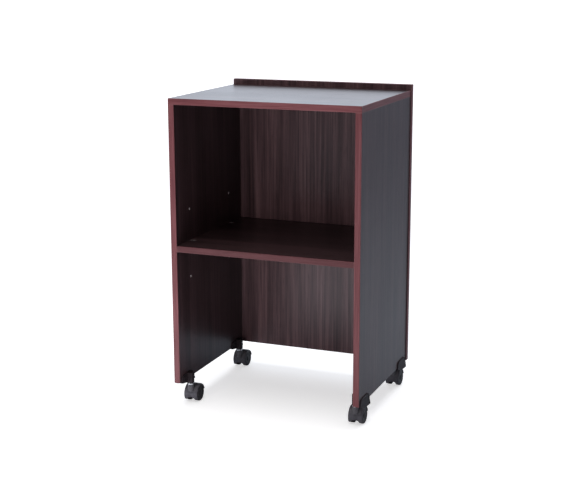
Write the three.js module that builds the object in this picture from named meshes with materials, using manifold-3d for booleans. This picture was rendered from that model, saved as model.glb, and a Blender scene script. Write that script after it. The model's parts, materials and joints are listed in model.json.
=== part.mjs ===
// Mobile lectern podium: an open-front cabinet of laminated board with one shelf, a low retaining lip at the
// back of its top, and four hooded twin-wheel casters in brackets that grip the bottoms of the side panels.
// Millimetres, +Z up. The open side that the speaker stands at faces -Y. The origin is on the floor, at the
// centre of the overall box.
import * as THREE from 'three';
import { mergeVertices } from 'three/addons/utils/BufferGeometryUtils.js';
import Module from 'manifold-3d';

const wasm = await Module();
wasm.setup();

// ---- driving dimensions ----------------------------------------------------------------------------------
const WIDTH = 610;               // across the side panels
const BOARD = 19;                // every panel
const SIDE_DEPTH = 482;          // front edge of the side panels to the back panel
const SIDE_BOTTOM = 79;          // underside of the side panels above the floor
const TOP_SURFACE = 971;         // writing surface above the floor
const LIP_HEIGHT = 18;           // back panel above the writing surface
const BACK_OVERHANG = 3;         // back panel past each side panel
const BAND = 1;                  // edge banding
const SHELF_BELOW_TOP = 450;     // writing surface to shelf surface
const CLEARANCE = 0.3;           // between a piece and the hole that holds it

// Shelf fittings, and the spare holes one step above and below them
const FITTING_FROM_FRONT = 92;
const FITTING_FROM_BACK = 100;
const SHELF_STEP = 108;
const FITTING_INSET = 10.5;      // housing centre from the end of the shelf
const HOUSING_RADIUS = 9.75;
const HOUSING_DEPTH = 12.5;
const PIN_RADIUS = 2.5;
const PIN_HOLE_DEPTH = 12;
const PIN_HEAD_RADIUS = 3.25;

// Dowels between the top and the side panels
const DOWEL_RADIUS = 4;
const DOWEL_LENGTH = 32;
const DOWEL_IN_TOP = 12;
const DOWEL_OFFSET = 150;        // each way from the middle of the side panel

// Caster brackets
const STEM_INSET = 10;           // caster stem from the inner face of the side panel
const FRONT_STEM_INSET = 56;     // front stem from the front edge
const REAR_STEM_INSET = 48;      // rear stem from the back panel
const BRACKET_LENGTH = 94;
const FLANGE = 3.5;
const FLANGE_HEIGHT = 20;        // above the bottom of the side panel
const FLANGE_LEAN = 4;           // how far the front edge leans back at the crest
const REAR_EDGE_TOP = 34;        // where the leaning rear edge meets the rounding, behind the stem
const FLANGE_CORNER = 13;
const BASE_DROP = 3;             // bracket base, and the flanges at their front end, below the side panel
const FLANGE_TIP_DROP = 20.5;    // rear tip of the outer flange below the side panel
const BARREL_HALF = 9.5;
const BARREL_CORNER = 4;
const BARREL_DROP = 12.5;        // socket, and the rear tip of the inner flange, below the side panel
const BARREL_RISE = 21;
const SCREW_OFFSET = 32;
const SCREW_RADIUS = 2;
const SCREW_LENGTH = 26;         // under the head
const SCREW_HOLE = SCREW_LENGTH - BASE_DROP + 1;

// Casters
const WHEEL_RADIUS = 25.5;
const WHEEL_IN = 7.5;            // inner face of each wheel from the middle of the caster
const WHEEL_OUT = 22.5;
const TRAIL = 25;                // axle behind the stem
const HOOD_OUTER = 31;
const HOOD_INNER = 28;
const HOOD_HALF = 23;
const WEB_HALF = 3.75;
const HOOD_REAR_ANGLE = 12;      // where the shell starts, up from straight behind the axle
const HOOD_FRONT_ANGLE = 213;    // where it ends, in front and below
const ARCH_HALF = 15;            // arch in the shell's front edge, over the gap between the wheels
const ARCH_RISE = 12;
const ARCH_CENTRE = 6;           // above the floor
const ARCH_BACK = 12;            // how far behind the stem the arch is cut
const NECK_RADIUS = 10;
const NECK_TOP = 60;
const NECK_BOTTOM = 40;
const STEM_RADIUS = 5.5;
const STEM_BOTTOM = 47;
const STEM_TOP = 96;
const COLLAR_RADIUS = 9.5;
const AXLE_RADIUS = 3;
const AXLE_HALF = 18;

// ---- derived places --------------------------------------------------------------------------------------
const HALF_WIDTH = WIDTH / 2;
const INNER = HALF_WIDTH - BOARD;
const FRONT = -(SIDE_DEPTH + BOARD) / 2;
const BACK_FACE = FRONT + SIDE_DEPTH;
const REAR = BACK_FACE + BOARD;
const BOARD_FRONT = FRONT + BAND;
const SIDE_TOP = TOP_SURFACE - BOARD;
const LIP_TOP = TOP_SURFACE + LIP_HEIGHT;
const SHELF_TOP = TOP_SURFACE - SHELF_BELOW_TOP;
const SHELF_BOTTOM = SHELF_TOP - BOARD;
const BACK_HALF = HALF_WIDTH + BACK_OVERHANG;
const SIDE_MIDDLE_Y = (FRONT + BACK_FACE) / 2;
const PIN_Z = SHELF_BOTTOM + 10;
const FITTING_YS = { front: FRONT + FITTING_FROM_FRONT, rear: BACK_FACE - FITTING_FROM_BACK };
const DOWEL_YS = { front: SIDE_MIDDLE_Y - DOWEL_OFFSET, rear: SIDE_MIDDLE_Y + DOWEL_OFFSET };
const STEM_YS = { front: FRONT + FRONT_STEM_INSET, rear: BACK_FACE - REAR_STEM_INSET };
const SIDES = { left: -1, right: 1 };
const STEM_X = INNER - STEM_INSET;
const BARREL_BOTTOM = SIDE_BOTTOM - BARREL_DROP;
const BASE_BOTTOM = SIDE_BOTTOM - BASE_DROP;

// ---- materials -------------------------------------------------------------------------------------------
const material = (color, roughness, metalness = 0) =>
  new THREE.MeshStandardMaterial({ color, roughness, metalness });
const LAMINATE = material(0x3a2226, 0.35);
const BANDING = material(0x70464c, 0.4);
const BLACK_PLASTIC = material(0x1b1b1e, 0.45);
const WHEEL_PLASTIC = material(0x202024, 0.5);
const ZINC = material(0xb9bbbe, 0.35, 1);
const BEECH = material(0xc9a777, 0.7);

// ---- helpers ---------------------------------------------------------------------------------------------
const podium = new THREE.Group();

function place(name, geometry, look, x = 0, y = 0, z = 0) {
  const mesh = new THREE.Mesh(geometry, look);
  mesh.name = name;
  mesh.position.set(x, y, z);
  podium.add(mesh);
}

// A box from its lowest to its highest corner
function block(x0, x1, y0, y1, z0, z1) {
  const geometry = new THREE.BoxGeometry(x1 - x0, y1 - y0, z1 - z0);
  geometry.translate((x0 + x1) / 2, (y0 + y1) / 2, (z0 + z1) / 2);
  return geometry;
}

// A cylinder along X or Z, from one place to another on that axis. On x, a and b are y and z; on z, x and y.
function rod(axis, radius, from, to, a, b, segments = 16) {
  const geometry = new THREE.CylinderGeometry(radius, radius, to - from, segments);
  const middle = (from + to) / 2;
  if (axis === 'x') {
    geometry.rotateZ(-Math.PI / 2);
    geometry.translate(middle, a, b);
  } else {
    geometry.rotateX(Math.PI / 2);
    geometry.translate(a, b, middle);
  }
  return geometry;
}

// A turned solid about Z, from [radius, z] points that start and end on the axis
function turned(points, segments) {
  const geometry = new THREE.LatheGeometry(points.map(([r, z]) => new THREE.Vector2(r, z)), segments);
  geometry.rotateX(Math.PI / 2);
  return geometry;
}

function solid(geometry) {
  const bare = geometry.clone();
  bare.deleteAttribute('normal');
  bare.deleteAttribute('uv');
  const merged = mergeVertices(bare, 1e-4);
  return new wasm.Manifold(new wasm.Mesh({
    numProp: 3,
    vertProperties: Float32Array.from(merged.attributes.position.array),
    triVerts: Uint32Array.from(merged.index.array),
  }));
}

function toGeometry(manifold) {
  const mesh = manifold.getMesh();
  const geometry = new THREE.BufferGeometry();
  geometry.setAttribute('position', new THREE.BufferAttribute(Float32Array.from(mesh.vertProperties), 3));
  geometry.setIndex(new THREE.BufferAttribute(Uint32Array.from(mesh.triVerts), 1));
  return geometry;
}

const joined = (first, ...more) => more.reduce((sum, one) => sum.add(solid(one)), solid(first));
const cut = (body, ...tools) => tools.reduce((sum, one) => sum.subtract(solid(one)), body);

// A flat outline in the YZ plane, extruded along X from x0 to x1
function plateAlongX(shape, x0, x1, curveSegments = 6) {
  const geometry = new THREE.ExtrudeGeometry(shape, { depth: x1 - x0, bevelEnabled: false, curveSegments });
  const axes = new THREE.Matrix4().makeBasis(
    new THREE.Vector3(0, 1, 0), new THREE.Vector3(0, 0, 1), new THREE.Vector3(1, 0, 0));
  geometry.applyMatrix4(axes);
  geometry.translate(x0, 0, 0);
  return geometry;
}

const radians = (degrees) => degrees * Math.PI / 180;

// ---- cabinet ---------------------------------------------------------------------------------------------
function addSidePanel(side, sign) {
  const inner = sign * INNER;
  const outer = sign * HALF_WIDTH;
  const panel = solid(block(Math.min(inner, outer), Math.max(inner, outer),
    BOARD_FRONT, BACK_FACE, SIDE_BOTTOM, SIDE_TOP));
  const holes = [];
  const holeEnd = sign * (INNER + PIN_HOLE_DEPTH);
  for (const y of Object.values(FITTING_YS)) {
    for (const z of [PIN_Z - SHELF_STEP, PIN_Z, PIN_Z + SHELF_STEP]) {
      holes.push(rod('x', PIN_RADIUS + CLEARANCE, Math.min(inner - sign, holeEnd),
        Math.max(inner - sign, holeEnd), y, z, 12));
    }
  }
  const middle = sign * (INNER + BOARD / 2);
  for (const y of Object.values(DOWEL_YS)) {
    holes.push(rod('z', DOWEL_RADIUS + CLEARANCE, SIDE_TOP - DOWEL_LENGTH + DOWEL_IN_TOP - 1, SIDE_TOP + 1,
      middle, y, 12));
  }
  for (const stemY of Object.values(STEM_YS)) {
    for (const way of [-1, 1]) {
      holes.push(rod('z', SCREW_RADIUS + CLEARANCE, SIDE_BOTTOM - 1, SIDE_BOTTOM + SCREW_HOLE,
        middle, stemY + way * SCREW_OFFSET, 10));
    }
  }
  place(`${side}_side_panel`, toGeometry(cut(panel, ...holes)), LAMINATE);
  place(`${side}_front_edge_band`, block(Math.min(inner, outer), Math.max(inner, outer),
    FRONT, BOARD_FRONT, SIDE_BOTTOM, SIDE_TOP), BANDING);
}

function addTop() {
  const end = HALF_WIDTH - BAND;
  const panel = solid(block(-end, end, BOARD_FRONT, BACK_FACE, SIDE_TOP, TOP_SURFACE));
  const holes = [];
  for (const sign of Object.values(SIDES)) {
    for (const y of Object.values(DOWEL_YS)) {
      holes.push(rod('z', DOWEL_RADIUS + CLEARANCE, SIDE_TOP - 1, SIDE_TOP + DOWEL_IN_TOP + 1,
        sign * (INNER + BOARD / 2), y, 12));
    }
  }
  place('top_panel', toGeometry(cut(panel, ...holes)), LAMINATE);
  place('top_front_edge_band',
    block(-HALF_WIDTH, HALF_WIDTH, FRONT, BOARD_FRONT, SIDE_TOP, TOP_SURFACE), BANDING);
  place('top_left_edge_band',
    block(-HALF_WIDTH, -end, BOARD_FRONT, BACK_FACE, SIDE_TOP, TOP_SURFACE), BANDING);
  place('top_right_edge_band',
    block(end, HALF_WIDTH, BOARD_FRONT, BACK_FACE, SIDE_TOP, TOP_SURFACE), BANDING);
}

function addBack() {
  const end = BACK_HALF - BAND;
  const crown = LIP_TOP - BAND;
  place('back_panel', block(-end, end, BACK_FACE, REAR, SIDE_BOTTOM, crown), LAMINATE);
  place('back_left_edge_band', block(-BACK_HALF, -end, BACK_FACE, REAR, SIDE_BOTTOM, crown), BANDING);
  place('back_right_edge_band', block(end, BACK_HALF, BACK_FACE, REAR, SIDE_BOTTOM, crown), BANDING);
  place('lip_edge_band', block(-BACK_HALF, BACK_HALF, BACK_FACE, REAR, crown, LIP_TOP), BANDING);
}

function addShelf() {
  const panel = solid(block(-INNER, INNER, BOARD_FRONT, BACK_FACE, SHELF_BOTTOM, SHELF_TOP));
  const pockets = [];
  for (const sign of Object.values(SIDES)) {
    const centre = sign * (INNER - FITTING_INSET);
    const past = sign * (INNER + 1);
    for (const y of Object.values(FITTING_YS)) {
      pockets.push(rod('z', HOUSING_RADIUS + CLEARANCE,
        SHELF_TOP - HOUSING_DEPTH - CLEARANCE, SHELF_TOP + 1, centre, y, 20));
      pockets.push(block(Math.min(centre, past), Math.max(centre, past),
        y - 4, y + 4, PIN_Z - 4, PIN_Z + 4));
    }
  }
  place('shelf_panel', toGeometry(cut(panel, ...pockets)), LAMINATE);
  place('shelf_front_edge_band', block(-INNER, INNER, FRONT, BOARD_FRONT, SHELF_BOTTOM, SHELF_TOP), BANDING);
}

// A locking housing sunk in the shelf, slotted towards the side panel for the head of its connecting bolt
function shelfHousing(sign) {
  const body = solid(rod('z', HOUSING_RADIUS, -HOUSING_DEPTH, 0, 0, 0, 20));
  const pinZ = PIN_Z - SHELF_TOP;
  const mouth = sign * (HOUSING_RADIUS + 1);
  const back = -sign * 2;
  const slot = block(Math.min(back, mouth), Math.max(back, mouth), -3.55, 3.55, pinZ - 4.5, pinZ + 3.55);
  return toGeometry(cut(body, slot));
}

// The connecting bolt, turned along X: threaded end in the side panel, neck and head in the housing
function shelfBolt(sign) {
  const profile = [
    [0, -PIN_HOLE_DEPTH + 1], [PIN_RADIUS - 0.75, -PIN_HOLE_DEPTH + 1], [PIN_RADIUS, -PIN_HOLE_DEPTH + 2],
    [PIN_RADIUS, 0], [2, 0], [2, 6.5], [PIN_HEAD_RADIUS, 7.5], [PIN_HEAD_RADIUS, 10], [2.25, 11], [0, 11],
  ];
  const geometry = turned(profile, 10);
  geometry.rotateY(-sign * Math.PI / 2);
  return geometry;
}

function addShelfFittings() {
  for (const [side, sign] of Object.entries(SIDES)) {
    for (const [end, y] of Object.entries(FITTING_YS)) {
      place(`shelf_housing_${end}_${side}`, shelfHousing(sign), BLACK_PLASTIC,
        sign * (INNER - FITTING_INSET), y, SHELF_TOP);
      place(`shelf_bolt_${end}_${side}`, shelfBolt(sign), ZINC, sign * INNER, y, PIN_Z);
    }
  }
}

function addDowels() {
  const tip = 1.5;
  const profile = [
    [0, 0], [DOWEL_RADIUS - tip, 0], [DOWEL_RADIUS, tip],
    [DOWEL_RADIUS, DOWEL_LENGTH - tip], [DOWEL_RADIUS - tip, DOWEL_LENGTH], [0, DOWEL_LENGTH],
  ];
  for (const [side, sign] of Object.entries(SIDES)) {
    for (const [end, y] of Object.entries(DOWEL_YS)) {
      place(`top_dowel_${end}_${side}`, turned(profile, 12), BEECH,
        sign * (INNER + BOARD / 2), y, SIDE_TOP + DOWEL_IN_TOP - DOWEL_LENGTH);
    }
  }
}

// ---- caster brackets -------------------------------------------------------------------------------------
// Flange outline, y along the panel and z up from the bottom of the panel. The lower edge falls in a curve
// from the front end to a tip at the back, tipDrop below the panel. The rear edge leans forward up to a
// rounded crest.
function flangeShape(tipDrop) {
  const half = BRACKET_LENGTH / 2;
  const front = -half + FLANGE_LEAN;
  const shape = new THREE.Shape();
  shape.moveTo(-half, -BASE_DROP);
  shape.quadraticCurveTo(-half / 2, -0.9 * tipDrop, half, -tipDrop);
  shape.lineTo(REAR_EDGE_TOP, FLANGE_HEIGHT - 12);
  shape.quadraticCurveTo(REAR_EDGE_TOP - 3, FLANGE_HEIGHT, REAR_EDGE_TOP - FLANGE_CORNER, FLANGE_HEIGHT);
  shape.lineTo(front + FLANGE_CORNER, FLANGE_HEIGHT);
  shape.quadraticCurveTo(front, FLANGE_HEIGHT, front - 2, FLANGE_HEIGHT - FLANGE_CORNER);
  shape.closePath();
  return shape;
}

// The square socket for the stem, with its two inboard corners rounded
function barrelGeometry() {
  const shape = new THREE.Shape();
  const reach = STEM_INSET - 0.5;
  const centre = BARREL_HALF - BARREL_CORNER;
  shape.moveTo(reach, -BARREL_HALF);
  shape.lineTo(reach, BARREL_HALF);
  shape.lineTo(-centre, BARREL_HALF);
  shape.absarc(-centre, centre, BARREL_CORNER, Math.PI / 2, Math.PI, false);
  shape.lineTo(-BARREL_HALF, -centre);
  shape.absarc(-centre, -centre, BARREL_CORNER, Math.PI, Math.PI * 1.5, false);
  shape.closePath();
  const geometry = new THREE.ExtrudeGeometry(shape,
    { depth: BARREL_DROP + BARREL_RISE, bevelEnabled: false, curveSegments: 4 });
  geometry.translate(0, 0, -BARREL_DROP);
  return geometry;
}

// Local frame: stem axis at x = y = 0, the side panel at +x, z = 0 at the bottom of the side panel
function bracketGeometry() {
  const inside = STEM_INSET;
  const outside = STEM_INSET + BOARD;
  const half = BRACKET_LENGTH / 2;
  const body = joined(
    plateAlongX(flangeShape(BARREL_DROP), inside - FLANGE, inside),
    plateAlongX(flangeShape(FLANGE_TIP_DROP), outside, outside + FLANGE),
    block(inside - 0.5, outside + 0.5, -half, half, -BASE_DROP, 0),
    barrelGeometry(),
  );
  const boreTop = STEM_TOP + CLEARANCE - SIDE_BOTTOM;
  const holes = [rod('z', STEM_RADIUS + CLEARANCE, -BARREL_DROP - 1, boreTop, 0, 0, 16)];
  for (const way of [-1, 1]) {
    holes.push(rod('z', SCREW_RADIUS + CLEARANCE, -BASE_DROP - 1, 1,
      inside + BOARD / 2, way * SCREW_OFFSET, 10));
  }
  return toGeometry(cut(body, ...holes));
}

function screwGeometry() {
  const profile = [
    [0, -2.5], [2.5, -2.5], [4, -1], [4, 0],
    [SCREW_RADIUS, 0], [SCREW_RADIUS, SCREW_LENGTH - 3], [0, SCREW_LENGTH],
  ];
  return turned(profile, 10);
}

// The mirror image about x = 0, with the faces kept outward
function mirrored(geometry) {
  const copy = geometry.clone();
  copy.scale(-1, 1, 1);
  const corners = copy.index.array;
  for (let i = 0; i < corners.length; i += 3) {
    [corners[i], corners[i + 1]] = [corners[i + 1], corners[i]];
  }
  return copy;
}

// Half a turn about Z for the left one of a pair
function faced(geometry, sign) {
  const copy = geometry.clone();
  if (sign < 0) copy.rotateZ(Math.PI);
  return copy;
}

function addBrackets() {
  const right = bracketGeometry();
  const brackets = { left: mirrored(right), right };
  const screw = screwGeometry();
  for (const [side, sign] of Object.entries(SIDES)) {
    for (const [end, y] of Object.entries(STEM_YS)) {
      place(`caster_bracket_${end}_${side}`, brackets[side], BLACK_PLASTIC, sign * STEM_X, y, SIDE_BOTTOM);
      for (const [label, way] of [['a', -1], ['b', 1]]) {
        place(`bracket_screw_${end}_${side}_${label}`, screw, ZINC,
          sign * (INNER + BOARD / 2), y + way * SCREW_OFFSET, BASE_BOTTOM);
      }
    }
  }
}

// ---- casters ---------------------------------------------------------------------------------------------
function stemGeometry() {
  const profile = [
    [0, STEM_BOTTOM], [STEM_RADIUS - 1, STEM_BOTTOM], [STEM_RADIUS, STEM_BOTTOM + 1],
    [STEM_RADIUS, NECK_TOP + CLEARANCE], [COLLAR_RADIUS, NECK_TOP + CLEARANCE], [COLLAR_RADIUS, NECK_TOP + 2],
    [COLLAR_RADIUS - 2, BARREL_BOTTOM - CLEARANCE], [STEM_RADIUS, BARREL_BOTTOM - CLEARANCE],
    [STEM_RADIUS, STEM_TOP - 1.5], [STEM_RADIUS - 1.5, STEM_TOP], [0, STEM_TOP],
  ];
  return turned(profile, 16);
}

// The shell is an arc over both wheels, in the YZ plane about the axle
function hoodShape(inner, outer) {
  const from = radians(HOOD_REAR_ANGLE);
  const to = radians(HOOD_FRONT_ANGLE);
  const shape = new THREE.Shape();
  shape.absarc(0, 0, outer, from, to, false);
  if (inner > 0) shape.absarc(0, 0, inner, to, from, true);
  else shape.lineTo(0, 0);
  shape.closePath();
  return shape;
}

// An oval along Y that arches the shell's lower front edge up between the wheels
function archTool() {
  const geometry = new THREE.CylinderGeometry(1, 1, HOOD_OUTER + ARCH_BACK, 36);
  geometry.scale(ARCH_HALF, 1, ARCH_RISE);
  geometry.translate(0, (ARCH_BACK - HOOD_OUTER) / 2, ARCH_CENTRE);
  return geometry;
}

// Local frame: stem axis at x = y = 0, z from the floor, axle behind the stem
function hoodGeometry() {
  const axleY = TRAIL;
  const axleZ = WHEEL_RADIUS;
  const atAxle = (geometry) => geometry.translate(0, axleY, axleZ);
  const shell = atAxle(plateAlongX(hoodShape(HOOD_INNER, HOOD_OUTER), -HOOD_HALF, HOOD_HALF, 12));
  const web = atAxle(plateAlongX(hoodShape(0, HOOD_OUTER - 1), -WEB_HALF, WEB_HALF, 12));
  const hub = rod('x', 9, -WEB_HALF, WEB_HALF, axleY, axleZ, 20);
  const neckTool = rod('z', NECK_RADIUS, NECK_BOTTOM, NECK_TOP, 0, 0, 20);
  const wheelRoom = [-1, 1].map((way) => rod('x', HOOD_INNER,
    Math.min(way * WEB_HALF, way * (HOOD_HALF + 1)), Math.max(way * WEB_HALF, way * (HOOD_HALF + 1)),
    axleY, axleZ, 36));
  const neck = cut(solid(neckTool), ...wheelRoom);
  const body = joined(shell, web, hub).add(neck);
  return toGeometry(cut(body, archTool(),
    rod('z', STEM_RADIUS + CLEARANCE, STEM_BOTTOM - 0.5, NECK_TOP + 1, 0, 0, 16),
    rod('x', AXLE_RADIUS + CLEARANCE, -WEB_HALF - 1, WEB_HALF + 1, axleY, axleZ, 12)));
}

function axleGeometry() {
  const profile = [
    [0, -AXLE_HALF], [AXLE_RADIUS - 0.75, -AXLE_HALF], [AXLE_RADIUS, -AXLE_HALF + 0.75],
    [AXLE_RADIUS, AXLE_HALF - 0.75], [AXLE_RADIUS - 0.75, AXLE_HALF], [0, AXLE_HALF],
  ];
  const geometry = turned(profile, 12);
  geometry.rotateY(Math.PI / 2);
  return geometry;
}

// A wheel about its own axle, on the +x side of the caster: blind bore, rounded tread, closed hub cap
function wheelGeometry() {
  const R = WHEEL_RADIUS;
  const bore = AXLE_RADIUS + CLEARANCE;
  const boreEnd = AXLE_HALF + CLEARANCE;
  const profile = [
    [0, boreEnd], [bore, boreEnd], [bore, WHEEL_IN - 2], [7, WHEEL_IN - 2], [7, WHEEL_IN],
    [R - 2, WHEEL_IN], [R, WHEEL_IN + 3], [R, WHEEL_OUT - 4], [R - 3, WHEEL_OUT - 0.5], [0, WHEEL_OUT],
  ];
  const geometry = turned(profile, 24);
  geometry.rotateY(Math.PI / 2);
  return geometry;
}

function addCasters() {
  const hood = hoodGeometry();
  const stem = stemGeometry();
  const axle = axleGeometry();
  const wheel = wheelGeometry();
  for (const [side, sign] of Object.entries(SIDES)) {
    for (const [end, y] of Object.entries(STEM_YS)) {
      const x = sign * STEM_X;
      place(`caster_stem_${end}_${side}`, stem, ZINC, x, y);
      place(`caster_hood_${end}_${side}`, hood, BLACK_PLASTIC, x, y);
      place(`caster_axle_${end}_${side}`, axle, ZINC, x, y + TRAIL, WHEEL_RADIUS);
      for (const [label, way] of [['left', -1], ['right', 1]]) {
        place(`wheel_${end}_${side}_${label}`, faced(wheel, way), WHEEL_PLASTIC,
          x, y + TRAIL, WHEEL_RADIUS);
      }
    }
  }
}

for (const [side, sign] of Object.entries(SIDES)) addSidePanel(side, sign);
addTop();
addBack();
addShelf();
addShelfFittings();
addDowels();
addBrackets();
addCasters();

export default podium;
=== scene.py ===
"""Looks of a mobile lectern podium: a dark laminated cabinet with reddish edge banding, on hooded twin-wheel
casters. Lengths are in metres and the open side faces -Y."""

import json
import math

import bmesh
import bpy
from mathutils import Matrix, Vector


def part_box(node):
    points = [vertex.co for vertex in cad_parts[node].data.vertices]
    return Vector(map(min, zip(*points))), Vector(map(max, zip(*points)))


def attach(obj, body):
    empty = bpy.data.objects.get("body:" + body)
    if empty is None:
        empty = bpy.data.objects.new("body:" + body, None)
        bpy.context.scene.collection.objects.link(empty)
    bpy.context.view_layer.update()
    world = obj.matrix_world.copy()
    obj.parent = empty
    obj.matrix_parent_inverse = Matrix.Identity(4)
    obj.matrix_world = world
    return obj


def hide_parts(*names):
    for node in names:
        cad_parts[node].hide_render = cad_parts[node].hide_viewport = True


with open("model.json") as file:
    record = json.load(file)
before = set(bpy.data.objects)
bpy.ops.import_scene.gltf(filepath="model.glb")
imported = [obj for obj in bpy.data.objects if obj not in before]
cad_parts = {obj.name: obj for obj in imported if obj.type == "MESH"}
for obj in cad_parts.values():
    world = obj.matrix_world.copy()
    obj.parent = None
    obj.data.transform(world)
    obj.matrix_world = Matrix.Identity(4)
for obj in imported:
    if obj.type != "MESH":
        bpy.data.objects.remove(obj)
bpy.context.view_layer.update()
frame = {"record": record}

MM = 0.001
ROOT = "cabinet"
# each side's direction along X
SIDES = {"left": -1, "right": 1}
ENDS = ("front", "rear")
# how close counts as touching
TOUCH = 1e-6
# how far inside a board's edges its faces are divided
EDGE_INSETS = (2 * MM, 4 * MM)

# ---- places read from the frame ---------------------------------------------------------------------------
joint_at = {joint["name"]: Vector(joint["pos_m"]) for joint in frame["record"]["behaviour"]["joints"]}
swivel_at = {(end, side): joint_at[f"swivel_{end}_{side}"] for side in SIDES for end in ENDS}
axle_at = {(end, side): joint_at[f"spin_{end}_{side}_left"] for side in SIDES for end in ENDS}


# ---- mesh helpers -----------------------------------------------------------------------------------------
def add_object(name, mesh):
    obj = bpy.data.objects.new(name, mesh)
    bpy.context.collection.objects.link(obj)
    return obj


def from_bmesh(name, bm):
    bmesh.ops.recalc_face_normals(bm, faces=bm.faces)
    mesh = bpy.data.meshes.new(name)
    bm.to_mesh(mesh)
    bm.free()
    for polygon in mesh.polygons:
        polygon.use_smooth = True
    return add_object(name, mesh)


def apply_modifiers(obj):
    graph = bpy.context.evaluated_depsgraph_get()
    mesh = bpy.data.meshes.new_from_object(obj.evaluated_get(graph))
    obj.modifiers.clear()
    old = obj.data
    obj.data = mesh
    bpy.data.meshes.remove(old)


def crease(obj, degrees=32):
    """Shades faces smoothly across every edge that is less sharp than the angle."""
    obj.data.set_sharp_from_angle(angle=math.radians(degrees))


def combine(obj, others, operation):
    for other in others:
        modifier = obj.modifiers.new("combine", "BOOLEAN")
        modifier.operation = operation
        modifier.solver = "EXACT"
        modifier.object = other
    apply_modifiers(obj)
    for other in others:
        bpy.data.objects.remove(other, do_unlink=True)


def cut(obj, cutters):
    combine(obj, cutters, "DIFFERENCE")


def join_solids(obj, others):
    combine(obj, others, "UNION")


def soften(obj, width, segments, degrees):
    """Rounds every edge that is sharper than the angle."""
    modifier = obj.modifiers.new("soften", "BEVEL")
    modifier.width = width
    modifier.segments = segments
    modifier.limit_method = "ANGLE"
    modifier.angle_limit = math.radians(degrees)
    apply_modifiers(obj)
    for polygon in obj.data.polygons:
        polygon.use_smooth = True


def middle(lo, hi):
    return (Vector(lo) + Vector(hi)) / 2


def lies_on(edge, face, limits):
    """Whether an edge lies on a board's face, such as "-y". limits gives the board's corner for each sign."""
    axis = "xyz".index(face[1])
    return all(abs(vert.co[axis] - limits[face[0]][axis]) < TOUCH for vert in edge.verts)


def board(name, lo, hi, eased=(), radius=0.5 * MM, segments=3):
    """A board from lo to hi. eased lists the edges to round, each by its two faces, such as ("-y", "+z")."""
    lo, hi = Vector(lo), Vector(hi)
    bm = bmesh.new()
    for vert in bmesh.ops.create_cube(bm, size=1.0)["verts"]:
        vert.co = Vector([lo[i] + (vert.co[i] + 0.5) * (hi[i] - lo[i]) for i in range(3)])
    limits = {"-": lo, "+": hi}
    chosen = []
    for edge in bm.edges:
        for faces in eased:
            if all(lies_on(edge, face, limits) for face in faces):
                chosen.append(edge)
    if chosen:
        bmesh.ops.bevel(bm, geom=chosen, offset=radius, segments=segments, profile=0.5,
                        affect="EDGES", clamp_overlap=True)
    obj = from_bmesh(name, bm)
    crease(obj)
    return obj


def turned(name, profile, segments):
    """A solid turned about Z from (radius, height) pairs that start and end on the axis."""
    bm = bmesh.new()
    rings = []
    for radius, height in profile:
        if radius == 0:
            rings.append([bm.verts.new((0, 0, height))])
            continue
        ring = []
        for step in range(segments):
            angle = 2 * math.pi * step / segments
            ring.append(bm.verts.new((radius * math.cos(angle), radius * math.sin(angle), height)))
        rings.append(ring)
    for low, high in zip(rings, rings[1:]):
        for step in range(segments):
            after = (step + 1) % segments
            if len(low) == 1:
                bm.faces.new((low[0], high[step], high[after]))
            elif len(high) == 1:
                bm.faces.new((low[step], low[after], high[0]))
            else:
                bm.faces.new((low[step], low[after], high[after], high[step]))
    obj = from_bmesh(name, bm)
    crease(obj, 30)
    return obj


def in_mm(pairs):
    """Pairs given in millimetres, as metres."""
    return [(a * MM, b * MM) for a, b in pairs]


def drum(radius, start, end, segments):
    """A plain cylinder about Z, to cut with or to join to a larger solid."""
    return turned("part", [(0, start), (radius, start), (radius, end), (0, end)], segments)


def prism(name, outline, axis, start, end):
    """A closed outline of (a, b) pairs pushed along axis. The pairs are (y, z) along x, (x, z) along y and
    (x, y) along z."""
    place = {
        "x": lambda a, b, t: (t, a, b),
        "y": lambda a, b, t: (a, t, b),
        "z": lambda a, b, t: (a, b, t),
    }[axis]
    bm = bmesh.new()
    low = [bm.verts.new(place(a, b, start)) for a, b in outline]
    high = [bm.verts.new(place(a, b, end)) for a, b in outline]
    bm.faces.new(low)
    bm.faces.new(high)
    count = len(outline)
    for i in range(count):
        j = (i + 1) % count
        bm.faces.new((low[i], low[j], high[j], high[i]))
    return from_bmesh(name, bm)


def arc(centre, radius, start, end, steps):
    """Points of an arc, angles in degrees."""
    points = []
    for i in range(steps + 1):
        angle = math.radians(start + (end - start) * i / steps)
        points.append((centre[0] + radius * math.cos(angle), centre[1] + radius * math.sin(angle)))
    return points


def cut_rows(obj, rows):
    """Cuts an object's faces across each axis at the given coordinates, leaving its shape as it was. Edge
    wear is worked out at the corners of faces, and this keeps it from spreading over a broad face."""
    bm = bmesh.new()
    bm.from_mesh(obj.data)
    for axis, places in enumerate(rows):
        normal = Vector((0, 0, 0))
        normal[axis] = 1
        for place in places:
            geometry = bm.verts[:] + bm.edges[:] + bm.faces[:]
            bmesh.ops.bisect_plane(bm, geom=geometry, dist=TOUCH, plane_co=normal * place, plane_no=normal)
    bm.to_mesh(obj.data)
    bm.free()


def edge_rows(lo, hi):
    """Coordinates just inside a board's two ends on each axis, for cut_rows."""
    rows = []
    for low, high in zip(lo, hi):
        fitting = [inset for inset in EDGE_INSETS if high - low > 3 * inset]
        rows.append([low + inset for inset in fitting] + [high - inset for inset in fitting])
    return rows


def rows_round(place, distances):
    """Coordinates at the given distances on either side of a place, for cut_rows."""
    return [place + way * distance for way in (-1, 1) for distance in distances]


def even_rows(obj, step):
    """Coordinates at an even step through an object on each axis, for cut_rows."""
    # the first row is part of a step in, so that the rows miss the object's own edges
    first = 0.37
    rows = []
    for axis in range(3):
        values = [vert.co[axis] for vert in obj.data.vertices]
        low, high = min(values), max(values)
        count = int((high - low) / step)
        rows.append([low + (i + first) * step for i in range(count)])
    return rows


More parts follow.
